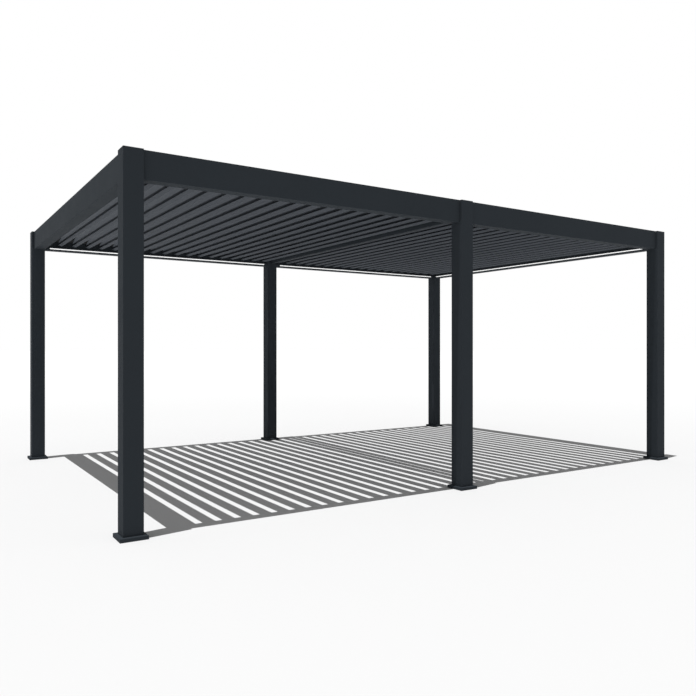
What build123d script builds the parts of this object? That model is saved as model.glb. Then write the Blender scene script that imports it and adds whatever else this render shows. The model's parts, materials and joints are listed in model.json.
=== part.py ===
from build123d import *
import os

# Louvered pergola in millimetres. The origin is on the ground at the centre of the
# posts' footprint, +X runs along the long front side and +Y from the front to the back.

os.makedirs("parts", exist_ok=True)

# Overall sizes, over the outer faces of the corner posts
overall_length = 5844.0
overall_width = 3878.0
overall_height = 2500.0

# Posts, square aluminium tube
post_size = 132.0
post_wall = 3.0
post_corner_radius = 4.0
cap_thickness = 4.0
base_overhang = 25.0
base_height = 26.0
base_bevel = 3.0

# Perimeter beam, a closed box with a rain gutter along its inner side
beam_inset = 24.0
beam_depth = 192.0
beam_width = 100.0
beam_box_width = 61.0
beam_wall = 3.0
beam_edge_radius = 2.0
gutter_lip_height = 37.0

# Middle rafter between the two middle posts
rafter_width = 40.0
rafter_depth = 110.0
rafter_wall = 2.5
rafter_edge_radius = 2.0
rafter_above_lip = 0.0

# Light strips on the inner face of the gutter lip
strip_height = 18.0
strip_thickness = 4.0
strip_above_beam_bottom = 9.0
strip_end_gap = 47.0

# Louver blade section, measured in the closed position from the outer corner of its hook
louvers_per_bay = 19
louver_tilt = 67.0
louver_thickness = 45.0
louver_lap = 10.0
hook_wall = 3.0
hook_height = 37.0
hook_corner_radius = 6.0
channel_width = 24.0
channel_floor = 3.0
channel_undercut = 14.0
shoulder_lip = 5.0
shoulder_bevel = 2.5
knee_from_drip_edge = 30.0
knee_radius = 6.0
flange_thickness = 2.5
flange_width = 15.0
drip_lip_wall = 2.0
drip_lip_drop = 3.5
pivot_from_hook = 74.0
pivot_from_underside = 22.0
pivot_below_beam_top = 69.0
louver_side_clearance = 7.0

# Louver ends, pivot pins and their bearing strips
gutter_reach = 8.0
post_end_clearance = 6.0
pin_radius = 5.0
pin_sides = 8
pin_clearance = 0.3
pin_end_clearance = 1.0
bearing_thickness = 8.0
bearing_height = 34.0
bearing_end_margin = 18.0

# Places worked out from the sizes above
half_length = overall_length / 2
half_width = overall_width / 2
post_centre_x = half_length - post_size / 2
post_centre_y = half_width - post_size / 2
tube_height = overall_height - cap_thickness - base_height
beam_bottom = overall_height - beam_depth
lip_top = beam_bottom + gutter_lip_height
beam_face_x = half_length - beam_inset
beam_face_y = half_width - beam_inset
bay_length = post_centre_x - post_size
side_length = overall_width - 2 * post_size
bay_centre_x = post_centre_x / 2
box_face_x = beam_face_x - beam_box_width
box_face_y = beam_face_y - beam_box_width
lip_face_x = beam_face_x - beam_width
lip_face_y = beam_face_y - beam_width
pivot_z = overall_height - pivot_below_beam_top
bay_starts = {"left_bay": -box_face_x, "right_bay": rafter_width / 2}
bay_opening = box_face_x - rafter_width / 2
louver_pitch = (bay_opening - 2 * louver_side_clearance - louver_lap) / louvers_per_bay
louver_width = louver_pitch + louver_lap
first_pivot = louver_side_clearance + pivot_from_hook
louver_half_length = lip_face_y + gutter_reach
end_louver_half_length = half_width - post_size - post_end_clearance


def pivot_positions(bay_start):
    """X of each louver's pivot in one bay."""
    return [bay_start + first_pivot + i * louver_pitch for i in range(louvers_per_bay)]


def make_post(name, x, y):
    with BuildPart() as post:
        with BuildSketch(Plane((x, y, base_height))):
            RectangleRounded(post_size, post_size, post_corner_radius)
            Rectangle(post_size - 2 * post_wall, post_size - 2 * post_wall, mode=Mode.SUBTRACT)
        extrude(amount=tube_height)
    post.part.label = name
    export_step(post.part, f"parts/{name}.step")


def make_base_plate(name, x, y):
    with BuildPart() as base:
        with BuildSketch(Plane((x, y, 0))):
            base_size = post_size + 2 * base_overhang
            Rectangle(base_size, base_size)
        extrude(amount=base_height)
        chamfer(base.faces().sort_by(Axis.Z)[-1].edges(), base_bevel)
    base.part.label = name
    export_step(base.part, f"parts/{name}.step")


def make_beam(name, face_centre, inward, length):
    along = Vector(*inward).cross(Vector(0, 0, 1))
    with BuildPart() as beam:
        with BuildSketch(Plane(origin=face_centre, x_dir=inward, z_dir=along)):
            with BuildLine():
                Polyline(
                    (0, 0),
                    (beam_width, 0),
                    (beam_width, gutter_lip_height),
                    (beam_width - beam_wall, gutter_lip_height),
                    (beam_width - beam_wall, beam_wall),
                    (beam_box_width, beam_wall),
                    (beam_box_width, beam_depth),
                    (0, beam_depth),
                    close=True,
                )
            section = make_face()
            outer_corners = section.vertices().group_by(Axis(face_centre, inward))[0]
            fillet(outer_corners, beam_edge_radius)
            with Locations((beam_box_width / 2, beam_depth / 2)):
                Rectangle(
                    beam_box_width - 2 * beam_wall,
                    beam_depth - 2 * beam_wall,
                    mode=Mode.SUBTRACT,
                )
        extrude(amount=length / 2, both=True)
    beam.part.label = name
    export_step(beam.part, f"parts/{name}.step")


def make_rafter():
    rafter_bottom = lip_top + rafter_above_lip
    with BuildPart() as rafter:
        with BuildSketch(Plane.XZ):
            with Locations((0, rafter_bottom + rafter_depth / 2)):
                RectangleRounded(rafter_width, rafter_depth, rafter_edge_radius)
                Rectangle(
                    rafter_width - 2 * rafter_wall,
                    rafter_depth - 2 * rafter_wall,
                    mode=Mode.SUBTRACT,
                )
        extrude(amount=side_length / 2, both=True)
    rafter.part.label = "middle_rafter"
    export_step(rafter.part, "parts/middle_rafter.step")


def make_post_caps():
    with BuildPart() as caps:
        with BuildSketch(Plane.XY.offset(overall_height - cap_thickness)):
            with GridLocations(post_centre_x, 2 * post_centre_y, 3, 2):
                RectangleRounded(post_size, post_size, post_corner_radius)
        extrude(amount=cap_thickness)
    caps.part.label = "post_caps"
    export_step(caps.part, "parts/post_caps.step")


def make_light_strips():
    strip_z = beam_bottom + strip_above_beam_bottom + strip_height / 2
    bay_strip = bay_length - 2 * strip_end_gap
    side_strip = side_length - 2 * strip_end_gap
    with BuildPart() as strips:
        for side in (-1, 1):
            for bay in (-1, 1):
                with Locations((bay * bay_centre_x, side * (lip_face_y - strip_thickness / 2), strip_z)):
                    Box(bay_strip, strip_thickness, strip_height)
            with Locations((side * (lip_face_x - strip_thickness / 2), 0, strip_z)):
                Box(strip_thickness, side_strip, strip_height)
    strips.part.label = "light_strips"
    export_step(strips.part, "parts/light_strips.step")


def make_bearing_strips():
    strip_length = (louvers_per_bay - 1) * louver_pitch + 2 * bearing_end_margin
    with BuildPart() as bearings:
        for side in (-1, 1):
            with BuildSketch(Plane.XZ.offset(side * box_face_y)):
                for bay_start in bay_starts.values():
                    pivots = pivot_positions(bay_start)
                    with Locations(((pivots[0] + pivots[-1]) / 2, pivot_z)):
                        Rectangle(strip_length, bearing_height)
                    with Locations(*[(x, pivot_z) for x in pivots]):
                        RegularPolygon(
                            pin_radius + pin_clearance,
                            pin_sides,
                            major_radius=False,
                            mode=Mode.SUBTRACT,
                        )
            extrude(amount=-side * bearing_thickness)
    bearings.part.label = "louver_bearings"
    export_step(bearings.part, "parts/louver_bearings.step")


def make_louver(name, pivot_x, half_span):
    tilted = Location((pivot_x, 0, pivot_z), (90, 0, 0)) * Location((0, 0, 0), (0, 0, louver_tilt))
    section_plane = Plane(tilted)
    left = -pivot_from_hook
    right = left + louver_width
    under = -pivot_from_underside
    top = under + louver_thickness
    knee = right - knee_from_drip_edge
    shoulder = left + hook_wall + channel_width
    channel_side = shoulder + channel_undercut
    channel_bed = under + channel_floor
    flange_root = right - flange_width
    flange_under = top - flange_thickness
    pin_length = box_face_y - pin_end_clearance - half_span
    with BuildPart() as louver:
        with BuildSketch(section_plane):
            with BuildLine():
                Polyline(
                    (left, under),
                    (knee, under),
                    (flange_root, flange_under),
                    (right - drip_lip_wall, flange_under),
                    (right - drip_lip_wall, flange_under - drip_lip_drop),
                    (right, flange_under - drip_lip_drop),
                    (right, top),
                    (shoulder, top),
                    (shoulder, top - shoulder_lip),
                    (channel_side, top - shoulder_lip),
                    (channel_side, channel_bed),
                    (left + hook_wall, channel_bed),
                    (left + hook_wall, under + hook_height),
                    (left, under + hook_height),
                    close=True,
                )
            make_face()
        extrude(amount=half_span, both=True)
        shoulder_edge = section_plane.from_local_coords((shoulder, top, 0))
        knee_edge = section_plane.from_local_coords((knee, under, 0))
        hook_edge = section_plane.from_local_coords((left, under, 0))
        long_edges = louver.edges().filter_by(Axis.Y)
        chamfer(long_edges.sort_by_distance(shoulder_edge)[0], shoulder_bevel)
        long_edges = louver.edges().filter_by(Axis.Y)
        fillet(long_edges.sort_by_distance(knee_edge)[0], knee_radius)
        long_edges = louver.edges().filter_by(Axis.Y)
        fillet(long_edges.sort_by_distance(hook_edge)[0], hook_corner_radius)
        for side in (-1, 1):
            with BuildSketch(section_plane.offset(side * half_span)):
                RegularPolygon(pin_radius, pin_sides)
            extrude(amount=side * pin_length)
    louver.part.label = name
    export_step(louver.part, f"parts/{name}.step")


for row, y in (("front", -post_centre_y), ("back", post_centre_y)):
    for place, x in (("left", -post_centre_x), ("middle", 0), ("right", post_centre_x)):
        make_post(f"{row}_{place}_post", x, y)
        make_base_plate(f"{row}_{place}_base_plate", x, y)

for place, x in (("left", -bay_centre_x), ("right", bay_centre_x)):
    make_beam(f"front_{place}_beam", (x, -beam_face_y, beam_bottom), (0, 1, 0), bay_length)
    make_beam(f"back_{place}_beam", (x, beam_face_y, beam_bottom), (0, -1, 0), bay_length)
make_beam("left_side_beam", (-beam_face_x, 0, beam_bottom), (1, 0, 0), side_length)
make_beam("right_side_beam", (beam_face_x, 0, beam_bottom), (-1, 0, 0), side_length)
make_rafter()
make_post_caps()
make_light_strips()
make_bearing_strips()

for bay, bay_start in bay_starts.items():
    for i, pivot_x in enumerate(pivot_positions(bay_start)):
        at_bay_end = i in (0, louvers_per_bay - 1)
        half_span = end_louver_half_length if at_bay_end else louver_half_length
        make_louver(f"{bay}_louver_{i + 1:02d}", pivot_x, half_span)
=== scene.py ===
"""Looks of the louvered pergola, in metres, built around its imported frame."""

import json
import math

import bmesh
import bpy
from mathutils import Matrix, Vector


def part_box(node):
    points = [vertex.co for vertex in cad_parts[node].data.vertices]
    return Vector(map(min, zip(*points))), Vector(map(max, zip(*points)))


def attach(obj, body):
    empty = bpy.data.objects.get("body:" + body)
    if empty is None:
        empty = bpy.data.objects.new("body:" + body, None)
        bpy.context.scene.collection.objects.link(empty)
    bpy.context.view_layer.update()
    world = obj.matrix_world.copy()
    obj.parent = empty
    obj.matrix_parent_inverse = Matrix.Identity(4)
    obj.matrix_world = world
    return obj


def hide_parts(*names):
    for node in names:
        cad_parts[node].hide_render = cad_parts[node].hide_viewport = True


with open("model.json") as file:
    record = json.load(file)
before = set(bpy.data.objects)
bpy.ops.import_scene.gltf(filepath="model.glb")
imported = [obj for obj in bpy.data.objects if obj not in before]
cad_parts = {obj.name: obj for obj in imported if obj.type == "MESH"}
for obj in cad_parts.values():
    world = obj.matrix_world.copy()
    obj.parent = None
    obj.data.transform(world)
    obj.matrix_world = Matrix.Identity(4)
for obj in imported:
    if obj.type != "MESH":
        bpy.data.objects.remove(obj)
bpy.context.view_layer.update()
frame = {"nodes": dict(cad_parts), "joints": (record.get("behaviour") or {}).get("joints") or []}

UP = Vector((0.0, 0.0, 1.0))
ALONG_X = Vector((1.0, 0.0, 0.0))
ALONG_Y = Vector((0.0, 1.0, 0.0))
QUARTER_TURN = math.radians(90.0)

# Colours, linear
FRAME_COLOUR = (0.0310, 0.0374, 0.0442)
# Louvers: the frame's anthracite coating painted about twice as light, as painted light standing in
# for the light that falls on the blades
LOUVER_COLOUR_WITH_PAINTED_LIGHT = (0.0730, 0.0818, 0.0948)
BEARING_COLOUR = (0.012, 0.012, 0.013)
# Light profile housing: a black profile, made near black so that it also paints the shade along the
# light strips
HOUSING_COLOUR_WITH_PAINTED_SHADE = (0.008, 0.0085, 0.009)
CAP_COLOUR = (0.032, 0.037, 0.042)
DIFFUSER_COLOUR = (0.86, 0.87, 0.87)
WHITE = (1.0, 1.0, 1.0)
FLOOR_TONE = 0.785
FAR_FLOOR_TONE = 0.86

# The part of a noise's range that is used
NOISE_LOW = 0.3
NOISE_HIGH = 0.7

# Powder coating: scales are per metre, spreads are to either side of the mean.
FRAME_ROUGHNESS = 0.8
FRAME_IOR = 1.16
LOUVER_ROUGHNESS = 0.75
LOUVER_IOR = 1.2
SPECKLE_SCALE = 900.0
SPECKLE_SPREAD = 0.12
CLOUD_SCALE = 1.3
CLOUD_SPREAD = 0.03
GLOSS_SCALE = 6.0
GLOSS_SPREAD = 0.03
PEEL_SCALE = 160.0
PEEL_ROUGHNESS = 0.6
PEEL_STRENGTH = 0.25
PEEL_HEIGHT = 0.0004

# Moulded plastic
BEARING_ROUGHNESS = 0.55
CAP_ROUGHNESS = 0.6
HOUSING_ROUGHNESS = 0.6
MOTTLE_SCALE = 500.0
MOTTLE_SPREAD = 0.15
SHEEN_SCALE = 40.0
SHEEN_SPREAD = 0.05
GRAIN_SCALE = 900.0
GRAIN_STRENGTH = 0.3
GRAIN_HEIGHT = 0.0002

# Opal cover of the light strips
DIFFUSER_ROUGHNESS = 0.35
DIFFUSER_EMISSION = 0.7
GLOW_SCALE = 60.0
GLOW_SPREAD = 0.015

# Light profiles: a housing with two rails, a crowned cover and end caps; housing and end caps are
# near black, partly painted shade along the strips
STRIP_END_GAP = 0.047
PROFILE_DEPTH = 0.004
PROFILE_HEIGHT = 0.018
PROFILE_END = 0.004
RAIL_HEIGHT = 0.0036
RAIL_BEVEL = 0.0004
BACK_THICKNESS = 0.0008
CROWN = 0.0005
CROWN_STEPS = 6

# Thin strips along the middle rafter
SHEET = 0.0015
STRIP_FOOT = 0.012
LEDGE_HEIGHT = 2.400
LEDGE_REACH = 0.025
LEDGE_LIP = 0.008
FLANGE_REACH = 0.014

# Louver ends
LOUVER_TILT = math.radians(67.0)
LOUVER_REACH_PAST_LIP = 0.008
END_LOUVER_SETBACK = 0.006
CAP_THICKNESS = 0.002
CAP_BEVEL = 0.0004
POST_SIDE_CUT = 0.016
RAFTER_SIDE_CUT = 0.030

# Broken edges
POST_CAP_EDGE = 0.0012
BASE_PLATE_EDGE = 0.001
EDGE_SEGMENTS = 2
EDGE_ANGLE = math.radians(40.0)
FLAT_TOLERANCE = 0.00001

# Floor, whose tone changes between two distances from the origin
FLOOR_RADIUS = 300.0
FLOOR_SEGMENTS = 96
TONE_START = 6.0
TONE_END = 22.0

# Light
SUN_DIRECTION = (0.1358, 0.0225, -1.0)
SUN_STRENGTH = 3.06
SUN_ANGLE = math.radians(0.1)
AMBIENT = 0.28
BACKGROUND = 1.0

# Camera, level
CAMERA_PLACE = (-4.0562, -6.2852, 1.223)
CAMERA_YAW = math.radians(56.9885)
CAMERA_LENS = 35.0
CAMERA_SENSOR = 36.0
CAMERA_CLIP_END = 1000.0


def link(tree, source, socket):
    tree.links.new(source, socket)


def new_material(name):
    material = bpy.data.materials.new(name)
    material.use_nodes = True
    return material, material.node_tree, material.node_tree.nodes["Principled BSDF"]


def noise(tree, coordinates, scale, detail=2.0, roughness=0.5):
    node = tree.nodes.new("ShaderNodeTexNoise")
    node.inputs["Scale"].default_value = scale
    node.inputs["Detail"].default_value = detail
    node.inputs["Roughness"].default_value = roughness
    link(tree, coordinates, node.inputs["Vector"])
    return node.outputs["Fac"]


def map_range(tree, value, low, high, from_low, from_high):
    node = tree.nodes.new("ShaderNodeMapRange")
    node.inputs["From Min"].default_value = from_low
    node.inputs["From Max"].default_value = from_high
    node.inputs["To Min"].default_value = low
    node.inputs["To Max"].default_value = high
    link(tree, value, node.inputs["Value"])
    return node.outputs["Result"]


def vary(tree, noise_value, mean, spread):
    """Noise stretched to mean plus or minus spread."""
    return map_range(tree, noise_value, mean - spread, mean + spread, NOISE_LOW, NOISE_HIGH)


def multiply(tree, a, b):
    node = tree.nodes.new("ShaderNodeMath")
    node.operation = "MULTIPLY"
    link(tree, a, node.inputs[0])
    link(tree, b, node.inputs[1])
    return node.outputs["Value"]


def shaded_colour(tree, colour, factor):
    """The colour times a factor that varies over the surface."""
    node = tree.nodes.new("ShaderNodeVectorMath")
    node.operation = "SCALE"
    node.inputs[0].default_value = colour
    link(tree, factor, node.inputs["Scale"])
    return node.outputs["Vector"]


def add_bump(tree, shader, height, strength, distance):
    bump = tree.nodes.new("ShaderNodeBump")
    bump.inputs["Strength"].default_value = strength
    bump.inputs["Distance"].default_value = distance
    link(tree, height, bump.inputs["Height"])
    link(tree, bump.outputs["Normal"], shader.inputs["Normal"])


def object_coordinates(tree):
    return tree.nodes.new("ShaderNodeTexCoord").outputs["Object"]


def powder_coat(name, colour, roughness, ior):
    """Fine-structure powder coating: a speckled tone over slow clouds, and a low orange peel."""
    material, tree, shader = new_material(name)
    place = object_coordinates(tree)
    speckle = vary(tree, noise(tree, place, SPECKLE_SCALE, detail=3.0), 1.0, SPECKLE_SPREAD)
    clouds = vary(tree, noise(tree, place, CLOUD_SCALE, detail=3.0), 1.0, CLOUD_SPREAD)
    tone = multiply(tree, speckle, clouds)
    link(tree, shaded_colour(tree, colour, tone), shader.inputs["Base Color"])
    gloss = vary(tree, noise(tree, place, GLOSS_SCALE, detail=4.0), roughness, GLOSS_SPREAD)
    link(tree, gloss, shader.inputs["Roughness"])
    shader.inputs["IOR"].default_value = ior
    peel = noise(tree, place, PEEL_SCALE, detail=4.0, roughness=PEEL_ROUGHNESS)
    add_bump(tree, shader, peel, PEEL_STRENGTH, PEEL_HEIGHT)
    return material


def moulded_plastic(name, colour, roughness):
    """Matte moulded plastic with a fine spark-eroded grain."""
    material, tree, shader = new_material(name)
    place = object_coordinates(tree)
    tone = vary(tree, noise(tree, place, MOTTLE_SCALE, detail=4.0), 1.0, MOTTLE_SPREAD)
    link(tree, shaded_colour(tree, colour, tone), shader.inputs["Base Color"])
    sheen = vary(tree, noise(tree, place, SHEEN_SCALE), roughness, SHEEN_SPREAD)
    link(tree, sheen, shader.inputs["Roughness"])
    add_bump(tree, shader, noise(tree, place, GRAIN_SCALE), GRAIN_STRENGTH, GRAIN_HEIGHT)
    return material


def lit_diffuser(name, colour, strength):
    """Opal cover, lit from behind, with the glow of its diodes only just told apart."""
    material, tree, shader = new_material(name)
    place = object_coordinates(tree)
    glow = vary(tree, noise(tree, place, GLOW_SCALE), 1.0, GLOW_SPREAD)
    link(tree, shaded_colour(tree, colour, glow), shader.inputs["Base Color"])
    link(tree, shaded_colour(tree, WHITE, glow), shader.inputs["Emission Color"])
    shader.inputs["Emission Strength"].default_value = strength
    shader.inputs["Roughness"].default_value = DIFFUSER_ROUGHNESS
    return material


frame_coating = powder_coat("frame_coating", FRAME_COLOUR, FRAME_ROUGHNESS, FRAME_IOR)
# The louvers' coating is the frame's anthracite painted lighter: painted light on the blades
louver_coating = powder_coat("louver_coating", LOUVER_COLOUR_WITH_PAINTED_LIGHT, LOUVER_ROUGHNESS, LOUVER_IOR)
bearing_plastic = moulded_plastic("bearing_plastic", BEARING_COLOUR, BEARING_ROUGHNESS)
cap_plastic = moulded_plastic("cap_plastic", CAP_COLOUR, CAP_ROUGHNESS)
# The housing's near-black tone is partly painted shade along the light strips
profile_coating_with_painted_shade = moulded_plastic("profile_coating_with_painted_shade", HOUSING_COLOUR_WITH_PAINTED_SHADE, HOUSING_ROUGHNESS)
light_diffuser = lit_diffuser("light_diffuser", DIFFUSER_COLOUR, DIFFUSER_EMISSION)


def coat_solids():
    """Gives every solid of the frame its material."""
    special = {"light_strips": light_diffuser, "louver_bearings": bearing_plastic}
    for name, node in frame["nodes"].items():
        # Blades take the lighter coating, which carries painted light
        usual = louver_coating if "_louver_" in name else frame_coating
        node.data.materials.clear()
        node.data.materials.append(special.get(name, usual))


def soften_edges(node, width):
    """Breaks the sharp edges of a solid, whose faces come in apart."""
    weld = node.modifiers.new("weld", "WELD")
    weld.merge_threshold = FLAT_TOLERANCE
    bevel = node.modifiers.new("bevel", "BEVEL")
    bevel.width = width
    bevel.segments = EDGE_SEGMENTS
    bevel.limit_method = "ANGLE"
    bevel.angle_limit = EDGE_ANGLE
    bevel.harden_normals = False


def soften_plates():
    soften_edges(frame["nodes"]["post_caps"], POST_CAP_EDGE)
    for name, node in frame["nodes"].items():
        if name.endswith("_base_plate"):
            soften_edges(node, BASE_PLATE_EDGE)


def finished_object(name, shape, material):
    """Turns a bmesh into an object of the scene."""
    mesh = bpy.data.meshes.new(name)
    shape.to_mesh(mesh)
    shape.free()
    mesh.materials.append(material)
    piece = bpy.data.objects.new(name, mesh)
    bpy.context.scene.collection.objects.link(piece)
    return piece


def sweep(name, section, centre, along, inward, length, material):
    """A closed prism: the section's (depth, height) points, carried along a straight line."""
    shape = bmesh.new()
    rings = []
    for end in (-0.5, 0.5):
        start = centre + along * (length * end)
        ring = [start + inward * depth + UP * height for depth, height in section]
        rings.append([shape.verts.new(point) for point in ring])
    count = len(section)
    for i in range(count):
        j = (i + 1) % count
        shape.faces.new((rings[0][i], rings[0][j], rings[1][j], rings[1][i]))
    shape.faces.new(rings[0])
    shape.faces.new(rings[1])
    bmesh.ops.recalc_face_normals(shape, faces=shape.faces)
    return finished_object(name, shape, material)


def housing_section():
    """U-shaped extrusion: a thin back and two rails with broken front edges."""
    rail, bevel, depth, height = RAIL_HEIGHT, RAIL_BEVEL, PROFILE_DEPTH, PROFILE_HEIGHT
    return [
        (0.0, 0.0),
        (depth - bevel, 0.0),
        (depth, bevel),
        (depth, rail - bevel),
        (depth - bevel, rail),
        (BACK_THICKNESS, rail),
        (BACK_THICKNESS, height - rail),
        (depth - bevel, height - rail),
        (depth, height - rail + bevel),
        (depth, height - bevel),
        (depth - bevel, height),
        (0.0, height),
    ]


def diffuser_section():
    """Opal strip that snaps in between the rails, with a crowned front."""
    low, high = RAIL_HEIGHT, PROFILE_HEIGHT - RAIL_HEIGHT
    front = PROFILE_DEPTH - RAIL_BEVEL - CROWN
    points = [(BACK_THICKNESS, low)]
    for i in range(CROWN_STEPS + 1):
        share = i / CROWN_STEPS
        points.append((front + CROWN * math.sin(math.pi * share), low + (high - low) * share))
    points.append((BACK_THICKNESS, high))
    return points


def closed_section():
    """Full section of an end cap or a blank, with broken front edges."""
    bevel, depth, height = 2 * RAIL_BEVEL, PROFILE_DEPTH, PROFILE_HEIGHT
    return [
        (0.0, 0.0),
        (depth - bevel, 0.0),
        (depth, bevel),
        (depth, height - bevel),
        (depth - bevel, height),
        (0.0, height),
    ]


def make_light_profiles():
    """Six light profiles on the gutter lips, each where its solid is."""
    strip_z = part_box("light_strips")[0].z
    side_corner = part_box("left_side_beam")[1]
    front_low, front_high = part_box("front_left_beam")
    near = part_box("front_middle_post")[1].x + STRIP_END_GAP
    far = -front_low.x - STRIP_END_GAP
    bays = (("left", -1.0), ("right", 1.0))
    for row, side in (("front", -1.0), ("back", 1.0)):
        for bay, hand in bays:
            centre = Vector((hand * (near + far) / 2, side * -front_high.y, strip_z))
            add_profile(f"{row}_{bay}", centre, ALONG_X, ALONG_Y * -side, far - near)
    for bay, hand in bays:
        centre = Vector((hand * -side_corner.x, 0.0, strip_z))
        length = 2 * (side_corner.y - STRIP_END_GAP)
        add_profile(f"{bay}_side", centre, ALONG_Y, ALONG_X * -hand, length)


def add_profile(place, centre, along, inward, length):
    """One light profile, and the dark blanks between its ends and the posts."""
    inner = length - 2 * PROFILE_END
    parts = [
        ("profile", housing_section(), centre, inner, profile_coating_with_painted_shade, "frame_coating"),
        ("diffuser", diffuser_section(), centre, inner, light_diffuser, "light_diffuser"),
    ]
    ends = (("first", -0.5), ("second", 0.5))
    for end, side in ends:
        middle = centre + along * side * (length - PROFILE_END)
        section = closed_section()
        parts.append((f"{end}_end", section, middle, PROFILE_END, profile_coating_with_painted_shade, "frame_coating"))
    for kind, section, middle, reach, material, slot in parts:
        name = f"{place}_light_{kind}"
        piece = sweep(name, section, middle, along, inward, reach, material)
        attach(piece, "frame")
        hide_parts("light_strips")
    for end, side in ends:
        middle = centre + along * side * (length + STRIP_END_GAP)
        name = f"{place}_lip_{end}_blank"
        blank = sweep(name, closed_section(), middle, along, inward, STRIP_END_GAP, frame_coating)
        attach(blank, "frame")


def make_rafter_strips():
    """Rain ledge under the left bay's last drip edge, and a flange over the right bay's hook."""
    low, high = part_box("middle_rafter")
    middle = (low.y + high.y) / 2
    ledge = [
        (0.0, -STRIP_FOOT),
        (SHEET, -STRIP_FOOT),
        (SHEET, 0.0),
        (LEDGE_REACH, 0.0),
        (LEDGE_REACH, LEDGE_LIP),
        (LEDGE_REACH - SHEET, LEDGE_LIP),
        (LEDGE_REACH - SHEET, SHEET),
        (0.0, SHEET),
    ]
    flange = [
        (0.0, -STRIP_FOOT),
        (SHEET, -STRIP_FOOT),
        (SHEET, -SHEET),
        (FLANGE_REACH, -SHEET),
        (FLANGE_REACH, 0.0),
        (0.0, 0.0),
    ]
    ledge_place = Vector((low.x, middle, LEDGE_HEIGHT))
    flange_place = Vector((high.x, middle, high.z))
    for name, section, centre, outward in (
        ("rafter_rain_ledge", ledge, ledge_place, -ALONG_X),
        ("rafter_cover_flange", flange, flange_place, ALONG_X),
    ):
        piece = sweep(name, section, centre, ALONG_Y, outward, high.y - low.y, frame_coating)
        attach(piece, "frame")


def end_faces(node, end_y):
    """The flat faces at one end of a blade, as a mesh of their own."""
    shape = bmesh.new()
    shape.from_mesh(node.data)
    elsewhere = [
        face
        for face in shape.faces
        if any(abs(vertex.co.y - end_y) > FLAT_TOLERANCE for vertex in face.verts)
    ]
    bmesh.ops.delete(shape, geom=elsewhere, context="FACES")
    bmesh.ops.remove_doubles(shape, verts=shape.verts, dist=FLAT_TOLERANCE)
    return shape


def add_end_piece(name, shape, body, side, thickness):
    """A plate of that outline, standing out from the blade's end."""
    if side < 0:
        bmesh.ops.reverse_faces(shape, faces=shape.faces)
    piece = finished_object(name, shape, cap_plastic)
    plate = piece.modifiers.new("plate", "SOLIDIFY")
    plate.thickness = thickness
    plate.offset = side
    bevel = piece.modifiers.new("bevel", "BEVEL")
    bevel.width = CAP_BEVEL
    bevel.segments = EDGE_SEGMENTS
    bevel.angle_limit = EDGE_ANGLE
    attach(piece, body)


def make_louver_ends():
    """End caps on every blade, and notched ends on the blades that pass beside a post."""
    lip_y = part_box("front_left_beam")[1].y
    post_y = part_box("front_left_post")[1].y
    full_end = -lip_y + LOUVER_REACH_PAST_LIP
    short_end = -post_y - END_LOUVER_SETBACK
    across = Vector((math.cos(LOUVER_TILT), 0.0, math.sin(LOUVER_TILT)))
    pivots = {joint["child"]: Vector(joint["pos_m"]) for joint in frame["joints"]}
    for name, pivot in pivots.items():
        node = frame["nodes"][name]
        first, last = name.endswith("_01"), name.endswith("_19")
        end = short_end if first or last else full_end
        keep, cut = (1, -POST_SIDE_CUT) if first else (-1, RAFTER_SIDE_CUT)
        for row, side in (("front", -1), ("back", 1)):
            cap = end_faces(node, side * end)
            add_end_piece(f"{name}_{row}_cap", cap, name, side, CAP_THICKNESS)
            if not (first or last):
                continue
            shape = end_faces(node, side * end)
            bmesh.ops.bisect_plane(
                shape,
                geom=shape.verts[:] + shape.edges[:] + shape.faces[:],
                plane_co=pivot + across * cut,
                plane_no=across * keep,
                clear_inner=True,
            )
            add_end_piece(f"{name}_{row}_notched_end", shape, name, side, full_end - end)


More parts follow.
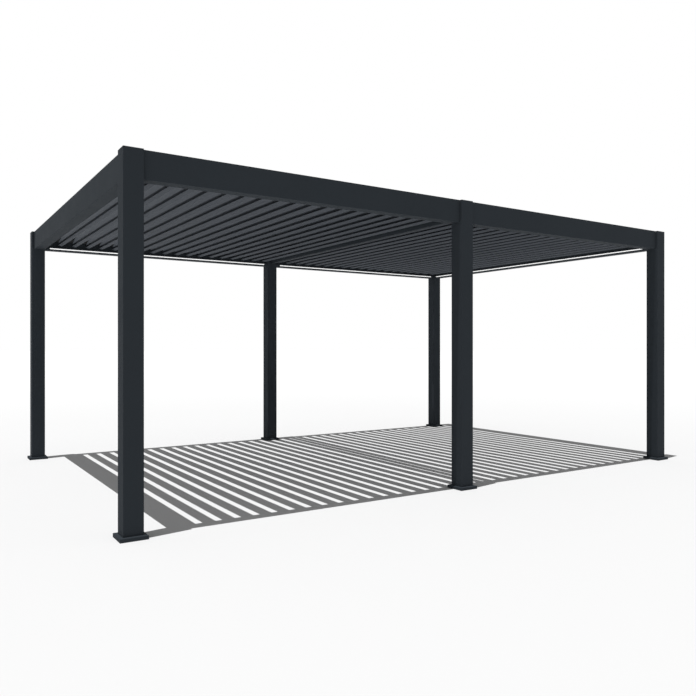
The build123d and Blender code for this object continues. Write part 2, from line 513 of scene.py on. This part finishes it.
def make_floor():
    """A plain pale floor, which turns to the background's white far from the object."""
    material, tree, shader = new_material("floor")
    length = tree.nodes.new("ShaderNodeVectorMath")
    length.operation = "LENGTH"
    link(tree, object_coordinates(tree), length.inputs[0])
    distance = length.outputs["Value"]
    tone = map_range(tree, distance, FLOOR_TONE, FAR_FLOOR_TONE, TONE_START, TONE_END)
    link(tree, shaded_colour(tree, WHITE, tone), shader.inputs["Base Color"])
    shader.inputs["Roughness"].default_value = 1.0
    shader.inputs["Specular IOR Level"].default_value = 0.0
    shape = bmesh.new()
    bmesh.ops.create_circle(shape, cap_ends=True, segments=FLOOR_SEGMENTS, radius=FLOOR_RADIUS)
    floor = finished_object("floor", shape, material)


def add_background(tree, strength):
    node = tree.nodes.new("ShaderNodeBackground")
    node.inputs["Color"].default_value = (*WHITE, 1.0)
    node.inputs["Strength"].default_value = strength
    return node.outputs["Background"]


def light_scene():
    """A small sun, and a world that lights softly and is seen as white."""
    sun = bpy.data.lights.new("sun", "SUN")
    sun.energy = SUN_STRENGTH
    sun.angle = SUN_ANGLE
    lamp = bpy.data.objects.new("sun", sun)
    lamp.rotation_mode = "QUATERNION"
    lamp.rotation_quaternion = Vector(SUN_DIRECTION).to_track_quat("-Z", "Y")
    bpy.context.scene.collection.objects.link(lamp)

    world = bpy.data.worlds.new("studio")
    world.use_nodes = True
    tree = world.node_tree
    tree.nodes.clear()
    output = tree.nodes.new("ShaderNodeOutputWorld")
    mix = tree.nodes.new("ShaderNodeMixShader")
    path = tree.nodes.new("ShaderNodeLightPath")
    seen = path.outputs["Is Camera Ray"]
    for ray in ("Is Glossy Ray", "Is Transmission Ray"):
        either = tree.nodes.new("ShaderNodeMath")
        either.operation = "MAXIMUM"
        link(tree, seen, either.inputs[0])
        link(tree, path.outputs[ray], either.inputs[1])
        seen = either.outputs["Value"]
    link(tree, seen, mix.inputs["Fac"])
    link(tree, add_background(tree, AMBIENT), mix.inputs[1])
    link(tree, add_background(tree, BACKGROUND), mix.inputs[2])
    link(tree, mix.outputs["Shader"], output.inputs["Surface"])
    bpy.context.scene.world = world


def place_camera():
    data = bpy.data.cameras.new("camera")
    data.lens = CAMERA_LENS
    data.sensor_width = CAMERA_SENSOR
    data.clip_end = CAMERA_CLIP_END
    camera = bpy.data.objects.new("camera", data)
    camera.location = CAMERA_PLACE
    camera.rotation_euler = (QUARTER_TURN, 0.0, CAMERA_YAW - QUARTER_TURN)
    bpy.context.scene.collection.objects.link(camera)
    bpy.context.scene.camera = camera


coat_solids()
soften_plates()
make_louver_ends()
make_light_profiles()
make_rafter_strips()
make_floor()
light_scene()
place_camera()
bpy.context.scene.view_settings.view_transform = "Standard"
